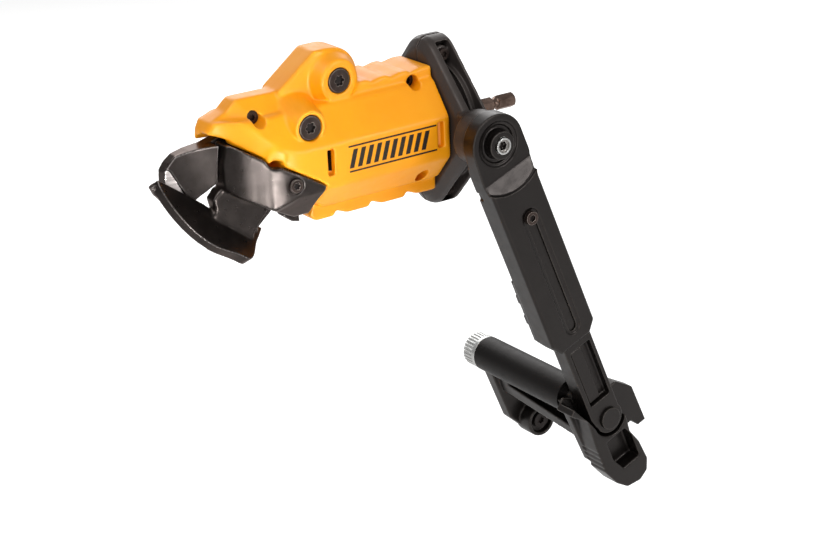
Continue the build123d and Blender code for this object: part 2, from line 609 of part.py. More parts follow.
def flank_pockets(side):
    """Lightening pockets in the upper and lower flanks of one half, with one curved rib in each."""
    front, rear = COLLAR_FRONT_X + COLLAR_DOME + 0.6, COLLAR_REAR_X - 1.5
    pockets = Part()
    for up in (1, -1):
        low, high = (7.0, 38.2) if up > 0 else (-38.2, -7.0)
        pocket = block((front, rear), (-46, -2.2), (low, high)) & slab_x(collar_outline(1.0), front, rear)
        pocket -= rod_x(front, rear, FLANGE_R + 2.4)
        pocket -= rod_y(EAR_SCREW_X, up * EAR_SCREW_Z, -7.4, 0, 3.9)
        rib = rod_x(rear - 2.6, rear, FLANGE_R + 5.6) - rod_x(rear - 2.6, rear, FLANGE_R + 4.6)
        pocket -= rib & block((front, rear), (-46, 0), (low, high))
        pockets += pocket
    if side > 0:
        pockets = mirror(pockets, Plane.XZ)
    return pockets


def collar_half(side):
    """One collar half; -1 carries the arm."""
    depth = (-60, -0.03) if side < 0 else (0.03, 60)
    half = (collar_body() & block((-70, -20), depth, (-60, 60))) - flank_pockets(side)
    for z in (EAR_SCREW_Z, -EAR_SCREW_Z):
        half -= rod_y(EAR_SCREW_X, z, -13, 8.0, 1.55)
    if side < 0:
        half -= rod_y(ARM_PIVOT_X, 0, -50, -27.0, 3.2)
        half -= hex_y(ARM_PIVOT_X, 0, -31.0, -26.2, NUT_ACROSS_FLATS + NUT_GAP)
    return half


def collar_screws():
    """Two screws that close the collar, one in each end pocket."""
    screws = []
    for z in (EAR_SCREW_Z, -EAR_SCREW_Z):
        head = rod_y(EAR_SCREW_X, z, -9.3, -7.45, 2.7) - socket_y(EAR_SCREW_X, z, -9.4, -8.3, 1.5)
        screws.append(head + rod_y(EAR_SCREW_X, z, -7.45, 7.5, 1.5))
    return Compound(children=screws)


def arm_nut():
    """Hexagon nut held in the collar for the arm's pivot bolt."""
    return hex_y(ARM_PIVOT_X, 0, -30.9, -26.3, NUT_ACROSS_FLATS) - rod_y(ARM_PIVOT_X, 0, -32, -25, 3.03)


def arm_pivot_bolt():
    """Bright bolt on which the arm turns: a cupped head with a six-lobed recess at the bottom of the cup."""
    bolt = rod_y(ARM_PIVOT_X, 0, -54.0, -26.3, 3.0) + rod_y(ARM_PIVOT_X, 0, -56.2, -54.0, 3.8)
    bolt -= rod_y(ARM_PIVOT_X, 0, -57.0, -55.3, 2.95)
    return bolt - socket_y(ARM_PIVOT_X, 0, -55.4, -53.2, 2.2)


def wave_washer():
    """Spring washer between the collar boss and the arm."""
    return rod_y(ARM_PIVOT_X, 0, -43.6, -43.0, 9.0) - rod_y(ARM_PIVOT_X, 0, -44, -42, 4.7)


# ================================================================ support arm
def upper_arm():
    """Outer telescoping arm, drawn hanging from its pivot."""
    y_back, y_front, disc_y = ARM_INNER_Y, ARM_OUTER_Y, -52.0
    sides = [(ARM_LEFT + 0.9, 0), (ARM_LEFT, 12), (ARM_LEFT, ARM_END - 6.0), (ARM_LEFT + 3.4, ARM_END),
             (ARM_RIGHT - 4.6, ARM_END), (ARM_RIGHT, ARM_END - 5.0), (ARM_RIGHT, 21.0),
             (ARM_RIGHT + 2.3, 12.0), (14.0, 0)]
    body = slab_y(outline(hang(sides)), y_front, y_back)
    front_edges = body.edges().filter_by(lambda e: abs(e.center().Y - y_front) < 0.01 and e.center().Z < -30)
    body = chamfer(front_edges, 1.0)
    body -= block((-20, 20), (-58, disc_y), (-14.6, 20))
    ramp_side = outline([(disc_y, -14.5), (y_front + 0.5, -24.5), (-60.0, -24.5), (-60.0, -14.5)])
    body -= extrude(Plane.YZ * ramp_side, 20, both=True) & rod_y(0, 0, -60, -50, 23.5)
    body += rod_y(0, 0, disc_y, -43.8, 14.0)
    body -= block((-30, 30), (-43.8, -42), (-15.5, 20)) & rod_y(0, 0, -44, -42, 15.5)

    # the disc's ring groove and the raised boss round the pivot
    body -= rod_y(0, 0, disc_y - 0.1, disc_y + 0.9, 10.6) - rod_y(0, 0, disc_y - 0.1, disc_y + 0.9, 8.9)
    body -= rod_y(0, 0, disc_y - 0.1, disc_y + 2.0, 8.9) - rod_y(0, 0, disc_y - 0.1, disc_y + 2.0, 6.8)
    body += rod_y(0, 0, -55.0, -49.6, 6.6)
    body -= rod_y(0, 0, -60, -54.3, 4.0) + rod_y(0, 0, -54.3, -40, 4.62)

    channel = (INNER_ARM_LEFT - 0.25, INNER_ARM_RIGHT + 0.25)
    body -= block(channel, (INNER_ARM_FRONT_Y - 0.15, INNER_ARM_BACK_Y + 0.25), (-130, -27))
    middle = (INNER_ARM_LEFT + INNER_ARM_RIGHT) / 2
    groove = Pos(middle, -71.5) * Rot(0, 0, 90) * SlotOverall(73.0, 9.0)
    slot = Pos(middle, -71.5) * Rot(0, 0, 90) * SlotOverall(69.5, 4.6)
    body -= slab_y(groove, y_front - 1, y_front + 0.7)
    body -= slab_y(slot, y_front - 1, INNER_ARM_FRONT_Y)
    body -= block((ARM_LEFT - 1, ARM_LEFT + 0.8), (-46.5, -42), (-23.5, -19.5))

    for v in (-13.6, -3.4):
        body += block((v - 0.9, v + 0.9), (-43.0, -40.6), (-108, -72))
    return on_arm(body)


def arm_sleeve():
    """Steel sleeve pressed into the arm's eye."""
    sleeve = rod_y(0, 0, -53.9, -43.8, 4.6) - rod_y(0, 0, -60, -40, 3.05)
    return on_arm(sleeve)


def length_latch():
    """Sliding thumb catch with two teeth, on the arm's back."""
    plate = block((-12.6, -4.4), (-42.9, -41.0), (-103, -80))
    for down in (86.3, 98.7):
        tooth = fillet(Rectangle(7.8, 5.4).vertices(), 0.6)
        plate += slab_y(Pos(-8.5, -down) * tooth, -41.0, -35.6)
    return on_arm(plate)


def lower_arm():
    """Inner telescoping arm with a framed pocket and a round lower eye."""
    pivot_v, pivot_u = FOOT_PIVOT
    sides = [(INNER_ARM_LEFT, 31), (INNER_ARM_LEFT, 158), (pivot_v - 8.4, pivot_u), (pivot_v + 7.3, pivot_u),
             (INNER_ARM_RIGHT, 158), (INNER_ARM_RIGHT, 31)]
    body = slab_y(outline(hang(sides)), INNER_ARM_FRONT_Y, INNER_ARM_BACK_Y)
    body += rod_y(pivot_v, -pivot_u, INNER_ARM_FRONT_Y, INNER_ARM_BACK_Y, 8.0)
    pocket = fillet(Rectangle(12.5, 33.5).vertices(), 0.8)
    body -= slab_y(Pos(-0.35, -134.25) * pocket, INNER_ARM_FRONT_Y - 1, INNER_ARM_FRONT_Y + 3.6)
    rib = fillet(Rectangle(6.7, 31.5).vertices(), 0.5)
    body += slab_y(Pos(-2.45, -134.25) * rib, INNER_ARM_FRONT_Y + 1.4, INNER_ARM_FRONT_Y + 4)
    middle = (INNER_ARM_LEFT + INNER_ARM_RIGHT) / 2
    body -= rod_y(middle, -SLIDE_SCREW_DOWN, -60, -45.5, 2.02)
    body -= block((middle - 3.6, middle + 3.6), (-50.2, -47.4), (-43.1, -30))
    body -= rod_y(pivot_v, -pivot_u, -60, -40, 3.06)
    return on_arm(body)


def slide_screw():
    """Socket-head screw that rides in the arm's slot."""
    middle = (INNER_ARM_LEFT + INNER_ARM_RIGHT) / 2
    screw = rod_y(middle, -SLIDE_SCREW_DOWN, -57.6, -55.5, 3.2)
    screw += rod_y(middle, -SLIDE_SCREW_DOWN, -55.5, -46.5, 2.0)
    screw -= hex_y(middle, -SLIDE_SCREW_DOWN, -57.7, -56.2, 3.0)
    return on_arm(screw)


def slide_nut():
    """Square nut in the inner arm, for the slide screw."""
    middle = (INNER_ARM_LEFT + INNER_ARM_RIGHT) / 2
    nut = block((middle - 3.5, middle + 3.5), (-50.1, -47.5), (-43.0, -36.0))
    return on_arm(nut - rod_y(middle, -SLIDE_SCREW_DOWN, -55, -45, 2.02))


# ================================================================ foot
def foot_near_plate():
    """Near cheek of the foot, in line with the arm, with a pocket for the arm's eye."""
    side = [(-19.0, 147.5), (-11.5, 156.6), (-12.6, 174.5), (-12.8, 189.0), (-8.8, 199.5), (-4.0, 205.5),
            (4.0, 207.3), (9.5, 205.0), (12.2, 199.0), (11.2, 187.0), (8.4, 178.0), (9.2, 171.5),
            (9.2, 160.0), (-6.0, 150.0), (-14.0, 143.5)]
    return slab_y(outline(hang(side)), FOOT_NEAR_Y, -43.2)


def foot_yoke():
    """Moulded foot: near plate, rear hook, cross beam and far plate."""
    pin_v, pin_u = FOOT_PIVOT
    end_v, end_u = END_SCREW
    foot = foot_near_plate() + foot_hook()
    foot += rod_y(pin_v, -pin_u, -44.0, FOOT_INNER_Y, 10.5)
    backing = outline(hang([(-14.5, 146.0), (9.0, 152.0), (10.5, 181.0), (-12.8, 186.0)]))
    foot += slab_y(backing, -44.2, FOOT_INNER_Y)
    foot -= foot_arm_room()
    stepped_pocket = [(-6.0, 174.5), (-6.0, 186.0), (-2.6, 194.0), (8.4, 194.0), (8.4, 180.0), (6.0, 174.5)]
    foot -= slab_y(outline(hang(stepped_pocket), 0.7), -60, -47.5)

    # thumb serrations on the front edge
    for k in range(4):
        foot -= rod_y(-13.6, -(177.0 + 3.4 * k), -60, -43.0, 1.25)

    far_side = [(-12.3, 152.5), (-12.0, 186.7), (-6.7, 197.5), (-2.0, 203.4), (4.5, 203.6), (8.6, 197.0),
                (8.6, 180.0), (2.5, 157.0)]
    foot += foot_beam() + slab_y(outline(hang(far_side)), *FAR_PLATE_Y)
    foot += rod_y(end_v, -end_u, 13.0, 24.0, 8.4)
    foot -= rod_y(end_v, -end_u, 12.0, 16.0, 6.6)
    foot -= rod_y(TUBE_CENTRE[0], -TUBE_CENTRE[1], FOOT_INNER_Y, 40.0, TUBE_R + RUNNING_GAP)

    # holes for the pin, the clamp rod and the end screw
    foot -= rod_y(pin_v, -pin_u, -60, -30, 3.06)
    foot -= rod_y(pin_v, -pin_u, FOOT_INNER_Y, -36.8, 5.8)
    foot -= rod_y(TUBE_CENTRE[0], -TUBE_CENTRE[1], -60, 40, 3.1)
    foot -= rod_y(end_v, -end_u, 12, 40, 2.05)
    return on_arm(foot)


def foot_hook():
    """Hooked rear wing of the near plate."""
    hook = [(9.0, 154.5), (15.7, 155.0), (23.2, 164.0), (23.8, 186.0), (18.6, 186.0), (16.0, 181.0),
            (9.0, 181.0)]
    return slab_y(outline(hang(hook)), -46.4, FOOT_INNER_Y)


def foot_arm_room():
    """Room in the near plate for the inner arm's end to swing."""
    pin_v, pin_u = FOOT_PIVOT
    fan = [(pin_v - 19.0, 140), (pin_v - 10.7, pin_u - 4), (pin_v - 9.5, pin_u), (pin_v + 9.5, pin_u),
           (pin_v + 10.2, pin_u - 4), (pin_v + 15.0, 140)]
    return rod_y(pin_v, -pin_u, -60, -44.2, 9.5) + slab_y(outline(hang(fan)), -60, -44.2)


def tapered_span(y_near, near, y_far, far):
    """Straight-sided solid between two rectangles, each given as left, right, top and bottom on the arm."""
    faces = []
    for y, (left, right, top, bottom) in ((y_near, near), (y_far, far)):
        faces.append(plane_y(y) * outline(hang([(left, top), (right, top), (right, bottom), (left, bottom)])))
    return loft(faces, ruled=True)


def foot_beam():
    """Cross beam that cradles the tube, with a long tapering slot in its front face."""
    near_end = outline(hang([(-10.0, 154.0), (3.0, 154.0), (3.0, 177.0), (-10.0, 177.0)]))
    far_end = outline(hang([(-10.0, 154.0), (2.0, 154.0), (2.0, 168.0), (-10.0, 168.0)]))
    beam = loft([plane_y(FOOT_INNER_Y - 0.1) * near_end, plane_y(FAR_PLATE_Y[1]) * far_end], ruled=True)
    slot = tapered_span(FOOT_INNER_Y, (-12.0, -3.0, 161.0, 171.0), 13.0, (-12.0, -3.0, 161.0, 162.6))
    return beam - slot


def foot_pin():
    """Round-headed pin on which the foot tilts, grooved at its far end."""
    v, u = FOOT_PIVOT
    pin = rod_y(v, -u, -55.9, -54.6, 5.6) + rod_y(v, -u, -54.6, -37.6, 3.0)
    pin -= rod_y(v, -u, -38.9, -38.1, 4) - rod_y(v, -u, -38.9, -38.1, 2.3)
    return on_arm(pin)


def pin_clip():
    """Push-on ring in the pin's groove."""
    v, u = FOOT_PIVOT
    clip = rod_y(v, -u, -38.85, -38.15, 5.2) - rod_y(v, -u, -40, -37, 2.35)
    return on_arm(clip)


def spacer_tube():
    """Smooth tube between the two plates, against which the driver's handle rests."""
    v, u = TUBE_CENTRE
    tube = rod_y(v, -u, -39.4, 27.9, TUBE_R) - rod_y(v, -u, -50, 30, 3.5)
    return on_arm(tube)


def clamp_rod():
    """Threaded rod through the tube, with a head in the near plate."""
    v, u = TUBE_CENTRE
    return on_arm(rod_y(v, -u, -43.5, 37.0, 3.0))


def knurled_nut():
    """Bright knurled nut on the far end of the clamp rod."""
    v, u = TUBE_CENTRE
    nut = rod_y(v, -u, 28.2, 38.4, TUBE_R - 0.1)
    nut = chamfer(nut.edges().sort_by(Axis.Y)[-1], 1.2)
    for k in range(KNURLS):
        angle = 2 * pi * k / KNURLS
        nut -= rod_y(v + TUBE_R * cos(angle), -u + TUBE_R * sin(angle), 30.4, 40, 0.62)
    nut -= rod_y(v, -u, 28, 37.6, 3.05)
    return on_arm(nut)


def end_screw():
    """Pan-head screw in the far plate's round socket."""
    v, u = END_SCREW
    screw = rod_y(v, -u, 13.9, 16.0, 4.2) + rod_y(v, -u, 16.0, 27.5, 2.0)
    return on_arm(screw - socket_y(v, -u, 13.8, 15.2, 2.0))


# ================================================================ write the parts
def all_parts():
    """Every node of the assembly, by name."""
    parts = {
        "housing_left": housing_half(-1),
        "housing_right": housing_half(1),
        "housing_screws": housing_screws(),
        "lower_jaw": lower_jaw(),
        "upper_jaw": upper_jaw(),
        "pivot_sleeve": pivot_sleeve(),
        "pivot_bolt": through_bolt(*PIVOT, PIVOT_FACE_Y),
        "hump_bolt": through_bolt(*HUMP_BOLT, HUMP_FACE_Y),
        "bolt_nuts": bolt_nuts(),
        "jaw_screw": jaw_screw(),
        "drive_shaft": drive_shaft(),
        "retaining_ring": retaining_ring(),
        "bearing_carrier": bearing_carrier(),
        "dust_seal": dust_seal(),
        "collar_left": collar_half(-1),
        "collar_right": collar_half(1),
        "collar_screws": collar_screws(),
        "arm_nut": arm_nut(),
        "arm_pivot_bolt": arm_pivot_bolt(),
        "wave_washer": wave_washer(),
        "upper_arm": upper_arm(),
        "arm_sleeve": arm_sleeve(),
        "length_latch": length_latch(),
        "lower_arm": lower_arm(),
        "slide_screw": slide_screw(),
        "slide_nut": slide_nut(),
        "foot_yoke": foot_yoke(),
        "foot_pin": foot_pin(),
        "pin_clip": pin_clip(),
        "spacer_tube": spacer_tube(),
        "clamp_rod": clamp_rod(),
        "knurled_nut": knurled_nut(),
        "end_screw": end_screw(),
    }
    bearings = {
        "rear_bearing": ball_bearing(REAR_BEARING_X, BEARING_SEAT_R, MAIN_BEARING_R, MAIN_BEARING_W),
        "front_bearing": ball_bearing(FRONT_BEARING_X, BEARING_SEAT_R, MAIN_BEARING_R, MAIN_BEARING_W),
        "cam_bearing": ball_bearing(CAM_BEARING_X, CAM_SEAT_R, CAM_BEARING_R, CAM_BEARING_W, CAM_OFFSET),
    }
    for name, (inner, outer, balls) in bearings.items():
        parts[name + "_inner"] = inner
        parts[name + "_outer"] = outer
        parts[name + "_balls"] = balls
    return parts


os.makedirs("parts", exist_ok=True)
for node, shape in all_parts().items():
    export_step(shape, f"parts/{node}.step")
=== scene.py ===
import json
import math

import bmesh
import bpy
import numpy
from mathutils import Matrix, Vector


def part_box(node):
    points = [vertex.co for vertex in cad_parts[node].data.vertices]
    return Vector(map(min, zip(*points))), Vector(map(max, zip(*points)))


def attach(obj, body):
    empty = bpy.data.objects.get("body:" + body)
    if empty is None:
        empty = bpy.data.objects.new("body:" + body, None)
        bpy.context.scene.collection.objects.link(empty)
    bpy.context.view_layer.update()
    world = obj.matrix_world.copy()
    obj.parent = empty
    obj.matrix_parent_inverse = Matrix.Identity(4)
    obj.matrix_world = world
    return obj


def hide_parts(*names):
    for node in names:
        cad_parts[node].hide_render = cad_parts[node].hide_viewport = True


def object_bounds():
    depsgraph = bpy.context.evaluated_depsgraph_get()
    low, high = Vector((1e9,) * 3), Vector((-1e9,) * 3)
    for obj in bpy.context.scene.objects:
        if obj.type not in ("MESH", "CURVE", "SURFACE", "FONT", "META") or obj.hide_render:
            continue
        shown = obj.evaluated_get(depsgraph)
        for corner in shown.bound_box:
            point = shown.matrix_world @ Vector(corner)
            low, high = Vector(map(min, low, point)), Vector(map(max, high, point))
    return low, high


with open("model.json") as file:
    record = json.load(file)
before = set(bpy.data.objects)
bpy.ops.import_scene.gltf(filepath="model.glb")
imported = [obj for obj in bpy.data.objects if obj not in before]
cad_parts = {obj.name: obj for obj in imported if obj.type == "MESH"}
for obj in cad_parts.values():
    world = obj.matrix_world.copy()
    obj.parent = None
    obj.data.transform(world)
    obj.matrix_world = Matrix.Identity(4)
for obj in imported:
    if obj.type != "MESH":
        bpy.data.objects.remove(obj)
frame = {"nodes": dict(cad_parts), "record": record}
CAD_BOX = [list(corner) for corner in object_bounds()]
MM = 0.001

# ---------------------------------------------------------------- the photograph's view
VIEW_TURN = math.radians(35.0)
VIEW_DROP = math.radians(19.5)
VIEW_ROLL = math.radians(3.0)
VIEW_PLACE = (-0.5814, -0.7679, 0.2856)
VIEW_LENS = 91.64
SENSOR = 36.0


def make_camera():
    """Camera at the photograph's viewing angle."""
    tilt = Matrix.Rotation(VIEW_ROLL, 3, "Y")
    level = math.cos(VIEW_DROP)
    forward = tilt @ Vector((math.sin(VIEW_TURN) * level, math.cos(VIEW_TURN) * level, -math.sin(VIEW_DROP)))
    right = tilt @ Vector((math.cos(VIEW_TURN), -math.sin(VIEW_TURN), 0.0))
    up = right.cross(forward)
    data = bpy.data.cameras.new("camera")
    data.lens = VIEW_LENS
    data.sensor_width = SENSOR
    data.clip_end = 20.0
    camera = bpy.data.objects.new("camera", data)
    bpy.context.scene.collection.objects.link(camera)
    turn = Matrix((right, up, -forward)).transposed().to_4x4()
    camera.matrix_world = Matrix.Translation(VIEW_PLACE) @ turn
    bpy.context.scene.camera = camera


# ---------------------------------------------------------------- materials
# The lighter outer edges: partly rubbed surface, partly painted highlight.
EDGE_WEAR_AND_SHEEN = "edge_wear_and_sheen"


def colour(red, green, blue):
    """A colour given as the eye sees it on a screen, 0 to 255, turned to the shader's linear values."""
    return tuple((v / 255.0) ** 2.2 for v in (red, green, blue)) + (1.0,)


WARM_SHEEN = (1.0, 0.90, 0.86, 1.0)


def new_material(name, metallic=0.0, roughness=0.5, gloss=0.5):
    material = bpy.data.materials.new(name)
    material.use_nodes = True
    shader = material.node_tree.nodes["Principled BSDF"]
    shader.inputs["Metallic"].default_value = metallic
    shader.inputs["Roughness"].default_value = roughness
    shader.inputs["Specular IOR Level"].default_value = gloss
    if metallic < 1.0:
        shader.inputs["Specular Tint"].default_value = WARM_SHEEN
    return material, material.node_tree, shader


def noise(tree, scale, detail=3.0, stretch=(1.0, 1.0, 1.0)):
    place = tree.nodes.new("ShaderNodeTexCoord")
    mapping = tree.nodes.new("ShaderNodeMapping")
    mapping.inputs["Scale"].default_value = stretch
    tree.links.new(place.outputs["Object"], mapping.inputs["Vector"])
    texture = tree.nodes.new("ShaderNodeTexNoise")
    texture.inputs["Scale"].default_value = scale
    texture.inputs["Detail"].default_value = detail
    tree.links.new(mapping.outputs["Vector"], texture.inputs["Vector"])
    return texture.outputs["Fac"]


def ramp(tree, value, low, high, low_colour, high_colour):
    node = tree.nodes.new("ShaderNodeValToRGB")
    node.color_ramp.elements[0].position = low
    node.color_ramp.elements[0].color = low_colour
    node.color_ramp.elements[1].position = high
    node.color_ramp.elements[1].color = high_colour
    tree.links.new(value, node.inputs["Fac"])
    return node.outputs["Color"]


def spread(tree, value, low, high, from_low=0.3, from_high=0.7):
    node = tree.nodes.new("ShaderNodeMapRange")
    node.inputs["From Min"].default_value = from_low
    node.inputs["From Max"].default_value = from_high
    node.inputs["To Min"].default_value = low
    node.inputs["To Max"].default_value = high
    tree.links.new(value, node.inputs["Value"])
    return node.outputs["Result"]


def mixed(tree, factor, first, second):
    node = tree.nodes.new("ShaderNodeMix")
    node.data_type = "RGBA"
    tree.links.new(factor, node.inputs["Factor"])
    for socket, value in (("A", first), ("B", second)):
        target = [s for s in node.inputs if s.name == socket and s.type == "RGBA"][0]
        if isinstance(value, tuple):
            target.default_value = value
        else:
            tree.links.new(value, target)
    return [s for s in node.outputs if s.type == "RGBA"][0]


def bump(tree, shader, *layers):
    """Each layer is (value, height in metres)."""
    normal = None
    for value, height in layers:
        node = tree.nodes.new("ShaderNodeBump")
        node.inputs["Strength"].default_value = 1.0
        node.inputs["Distance"].default_value = height
        tree.links.new(value, node.inputs["Height"])
        if normal is not None:
            tree.links.new(normal, node.inputs["Normal"])
        normal = node.outputs["Normal"]
    tree.links.new(normal, shader.inputs["Normal"])


def edge_mask(tree):
    """How far a point lies on an outer edge, 0 to 1, broken up by a fine noise. The materials lighten these
    edges: partly rubbed surface, partly painted highlight.
    """
    wear_and_sheen = tree.nodes.new("ShaderNodeAttribute")
    wear_and_sheen.attribute_name = EDGE_WEAR_AND_SHEEN
    patchy = spread(tree, noise(tree, 700.0, 4.0), 0.35, 1.0)
    product = tree.nodes.new("ShaderNodeMath")
    product.operation = "MULTIPLY"
    tree.links.new(wear_and_sheen.outputs["Fac"], product.inputs[0])
    tree.links.new(patchy, product.inputs[1])
    return product.outputs["Value"]


def moulded_plastic(name, dark, light, edge, low_rough, high_rough, grain, gloss=0.5):
    material, tree, shader = new_material(name, gloss=gloss)
    cloudy = ramp(tree, noise(tree, 60.0, 4.0), 0.35, 0.65, dark, light)
    # edge is the lighter colour of outer edges: partly rubbed surface, partly painted highlight.
    tree.links.new(mixed(tree, edge_mask(tree), cloudy, edge), shader.inputs["Base Color"])
    patches = noise(tree, 220.0, 3.0)
    tree.links.new(spread(tree, patches, low_rough, high_rough), shader.inputs["Roughness"])
    bump(tree, shader, (noise(tree, 2600.0, 2.0), grain), (noise(tree, 140.0, 2.0), grain * 2.0))
    return material


def treated_steel(name, dark, light, worn_and_lit, metallic, low_rough, high_rough, grain=0.00001):
    material, tree, shader = new_material(name, metallic)
    mottled = ramp(tree, noise(tree, 180.0, 6.0), 0.35, 0.65, dark, light)
    # The lighter colour on outer edges: partly rubbed surface, partly painted highlight.
    tree.links.new(mixed(tree, edge_mask(tree), mottled, worn_and_lit), shader.inputs["Base Color"])
    tree.links.new(spread(tree, noise(tree, 400.0, 5.0), low_rough, high_rough), shader.inputs["Roughness"])
    bump(tree, shader, (noise(tree, 1500.0, 3.0), grain), (noise(tree, 260.0, 3.0), grain * 2.0))
    return material


def brushed_steel(name, dark, light, stretch, low_rough, high_rough):
    material, tree, shader = new_material(name, 1.0)
    lines = noise(tree, 900.0, 3.0, stretch)
    tree.links.new(ramp(tree, lines, 0.3, 0.7, dark, light), shader.inputs["Base Color"])
    tree.links.new(spread(tree, lines, low_rough, high_rough), shader.inputs["Roughness"])
    bump(tree, shader, (lines, 0.000004))
    return material


MATERIALS = {
    "yellow_nylon": moulded_plastic(
        "yellow_nylon", colour(250, 157, 14), colour(252, 162, 20), colour(253, 176, 56), 0.33, 0.43, 0.000010
    ),
    # A lighter copy of black nylon for the collars: partly rubbed surface, partly painted sheen.
    "worn_and_sheen_nylon": moulded_plastic(
        "worn_and_sheen_nylon", colour(50, 46, 44), colour(58, 53, 51), colour(98, 92, 88), 0.34, 0.46, 0.000012, 0.4
    ),
    # Dark finish that paints shade inside screw sockets; the end screw is given it whole.
    "painted_shade_dark": treated_steel(
        "painted_shade_dark", colour(20, 16, 16), colour(28, 23, 22), colour(46, 40, 38), 0.3, 0.45, 0.6
    ),
    "shadow_black": moulded_plastic(
        "shadow_black", colour(20, 14, 8), colour(27, 19, 11), colour(32, 24, 16), 0.85, 0.95, 0.000006, 0.05
    ),
    "black_nylon": moulded_plastic(
        "black_nylon", colour(16, 14, 13), colour(22, 20, 19), colour(70, 66, 62), 0.28, 0.38, 0.000010, 0.38
    ),
    "blackened_steel": treated_steel(
        "blackened_steel", colour(56, 52, 50), colour(65, 60, 58), colour(160, 153, 150), 0.9, 0.27, 0.33,
        0.000003
    ),
    "black_screw": treated_steel(
        "black_screw", colour(56, 48, 45), colour(72, 62, 58), colour(140, 130, 124), 0.8, 0.30, 0.42
    ),
    "plated_steel": treated_steel(
        "plated_steel", colour(120, 116, 112), colour(150, 146, 142), colour(205, 202, 198), 1.0, 0.28, 0.42
    ),
    "bright_plated": treated_steel(
        "bright_plated", colour(176, 176, 174), colour(206, 206, 204), colour(252, 252, 250), 1.0, 0.20, 0.34
    ),
    "ground_steel": brushed_steel(
        "ground_steel", colour(196, 188, 184), colour(222, 214, 210), (0.05, 1.0, 1.0), 0.24, 0.38
    ),
    "shank_steel": treated_steel(
        "shank_steel", colour(92, 76, 68), colour(128, 108, 98), colour(200, 186, 176), 0.95, 0.28, 0.40
    ),
    "carrier_metal": treated_steel(
        "carrier_metal", colour(140, 140, 138), colour(165, 165, 162), colour(210, 210, 208), 1.0, 0.35, 0.5
    ),
    "black_tube": moulded_plastic(
        "black_tube", colour(15, 14, 14), colour(19, 18, 18), colour(60, 58, 56), 0.40, 0.46, 0.000004, 0.22
    ),
    "seal_rubber": moulded_plastic(
        "seal_rubber", colour(26, 26, 26), colour(32, 32, 32), colour(44, 44, 44), 0.55, 0.7, 0.00001
    ),
}
printed_black = moulded_plastic(
    "printed_black", colour(24, 20, 16), colour(32, 27, 22), colour(40, 36, 32), 0.45, 0.6, 0.000006
)


def finish_of(node):
    """The record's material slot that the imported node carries."""
    return frame["nodes"][node].data.materials[0].name.split(".")[0]


# Nodes given a finish other than their slot's: the collars a lighter nylon, partly rubbed and partly painted
# sheen; the end screw the dark finish that paints shade in sockets.
OTHER_FINISH_NODES = {"collar_left": "worn_and_sheen_nylon", "collar_right": "worn_and_sheen_nylon", "end_screw": "painted_shade_dark"}


def paint_cad_nodes():
    for node, obj in frame["nodes"].items():
        for slot in obj.material_slots:
            if slot.material:
                slot.material = MATERIALS[OTHER_FINISH_NODES.get(node, FINISHES[node])]


# ---------------------------------------------------------------- pieces grown from the CAD shapes
def body_of(node):
    """The moving body that a CAD node belongs to."""
    return next(b for b, names in frame["record"]["behaviour"]["bodies"].items() if node in names)


def mesh_arrays(mesh):
    """Vertex places and both ends of every edge, as arrays."""
    places = numpy.empty(len(mesh.vertices) * 3)
    mesh.vertices.foreach_get("co", places)
    ends = numpy.empty(len(mesh.edges) * 2, dtype=numpy.int64)
    mesh.edges.foreach_get("vertices", ends)
    return places.reshape(-1, 3), ends.reshape(-1, 2).T


def mark_edges(mesh, flat=160.0, sharp=620.0, passes=3):
    """Store how strongly each vertex lies on an outer edge, from its curvature in 1/m, evened out. The
    materials lighten these edges: partly rubbed surface, partly painted highlight.
    """
    places, (first, second) = mesh_arrays(mesh)
    count = len(places)
    normals = numpy.array([tuple(v.vector) for v in mesh.vertex_normals])
    span = places[second] - places[first]
    squared = numpy.maximum((span ** 2).sum(axis=1), 1e-14)
    bend = numpy.zeros(count)
    neighbours = numpy.zeros(count)
    for here, sign in ((first, -1.0), (second, 1.0)):
        bend += numpy.bincount(here, sign * (normals[here] * span).sum(axis=1) / squared, count)
        neighbours += numpy.bincount(here, minlength=count)
    neighbours = numpy.maximum(neighbours, 1.0)
    bend /= neighbours
    for _ in range(passes):
        around = numpy.bincount(first, bend[second], count) + numpy.bincount(second, bend[first], count)
        bend = 0.5 * bend + 0.5 * around / neighbours
    wear_and_sheen = numpy.clip((bend - flat) / (sharp - flat), 0.0, 1.0)
    mesh.attributes.new(EDGE_WEAR_AND_SHEEN, "FLOAT", "POINT").data.foreach_set("value", wear_and_sheen.astype(numpy.float32))


def running_zone(places, group):
    """1 where a group's skin runs against another body, 0 elsewhere."""
    x, y, z = places.T / MM
    if group == "housing":
        behind = numpy.clip((x - NECK_START) / 0.5, 0.0, 1.0)
        return behind * numpy.clip(COLLAR_BORE_R - numpy.hypot(y, z), 0.0, 1.0)
    if group == "collar":
        return numpy.clip(COLLAR_BORE_R - numpy.hypot(y, z), 0.0, 1.0)
    if group == "upper_jaw":
        return numpy.clip((x - JAW_COVERED_FROM) / 3.0, 0.0, 1.0)
    return numpy.zeros(len(places))


def leave_room(mesh, group):
    """Draw a running skin in by a hair, so that the remade pieces clear each other as the CAD does."""
    places, _ = mesh_arrays(mesh)
    normals = numpy.array([tuple(v.vector) for v in mesh.vertex_normals])
    places -= (RUNNING_ROOM[group] * MM * running_zone(places, group))[:, None] * normals
    mesh.vertices.foreach_set("co", places.ravel())
    mesh.update()


NECK_START = -55.2
COLLAR_BORE_R = 25.0
JAW_COVERED_FROM = -163.0
RUNNING_ROOM = {"housing": 0.10, "collar": 0.12, "upper_jaw": 0.22}


